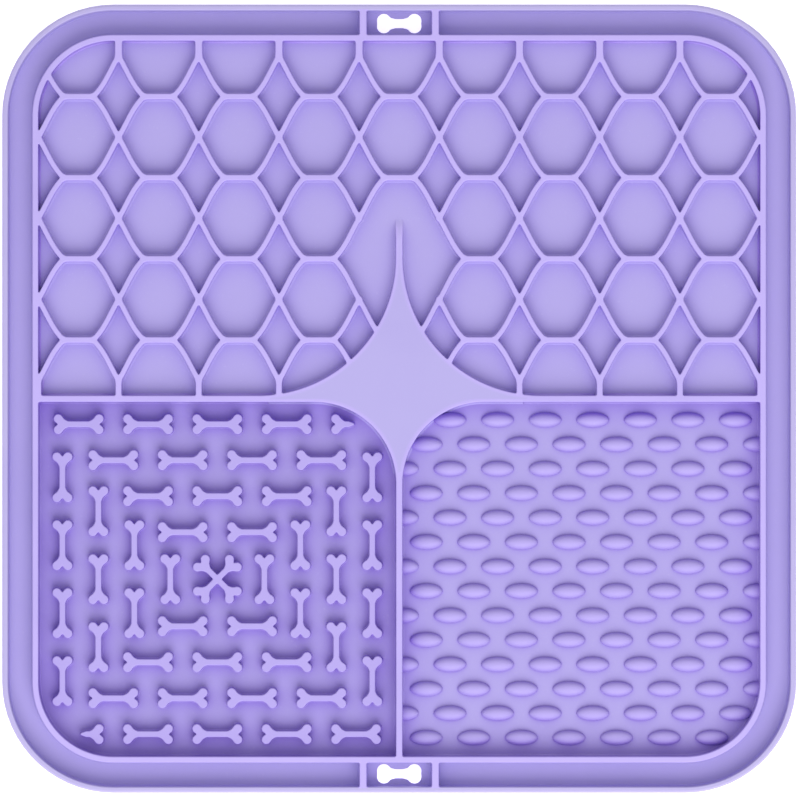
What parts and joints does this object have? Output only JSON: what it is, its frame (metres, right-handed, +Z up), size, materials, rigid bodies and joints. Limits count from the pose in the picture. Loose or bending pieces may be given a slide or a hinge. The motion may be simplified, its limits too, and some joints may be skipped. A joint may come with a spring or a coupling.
{
  "type": "lick mat",
  "caption": "Square silicone lick mat with a honeycomb field, a pocket of bone studs, a pocket of oval bumps, a spill gutter and suction cups below.",
  "frame": {"origin": "middle of the mat's outline, on the surface that the suction cups stand on", "axes": "+Z up, +X to the picture's right, +Y to the picture's top, towards the honeycomb's outer wall"},
  "size_m": [0.2, 0.1986, 0.01],
  "materials": {
    "silicone": "soft lilac food-grade silicone, matt to satin, straight from the mould"
  },
  "bodies": {
    "root": {"base_sheet": "silicone", "outer_rim": "silicone", "inner_wall": "silicone", "cross_divider": "silicone", "lower_divider": "silicone", "centre_star": "silicone", "star_spike": "silicone", "honeycomb_floor": "silicone", "honeycomb_bars": "silicone", "honeycomb_upper_left_ribs": "silicone", "honeycomb_upper_right_ribs": "silicone", "honeycomb_lower_left_ribs": "silicone", "honeycomb_lower_right_ribs": "silicone", "honeycomb_top_stubs": "silicone", "honeycomb_bottom_stubs": "silicone", "bone_studs_horizontal": "silicone", "bone_studs_vertical": "silicone", "crossed_bones": "silicone", "oval_bumps_upper_rows": "silicone", "oval_bumps_upper_middle_rows": "silicone", "oval_bumps_lower_middle_rows": "silicone", "oval_bumps_lower_rows": "silicone", "hanger_ribs_top": "silicone", "hanger_ribs_bottom": "silicone", "suction_cups_outer": "silicone", "suction_cups_inner": "silicone"}
  },
  "joints": []
}
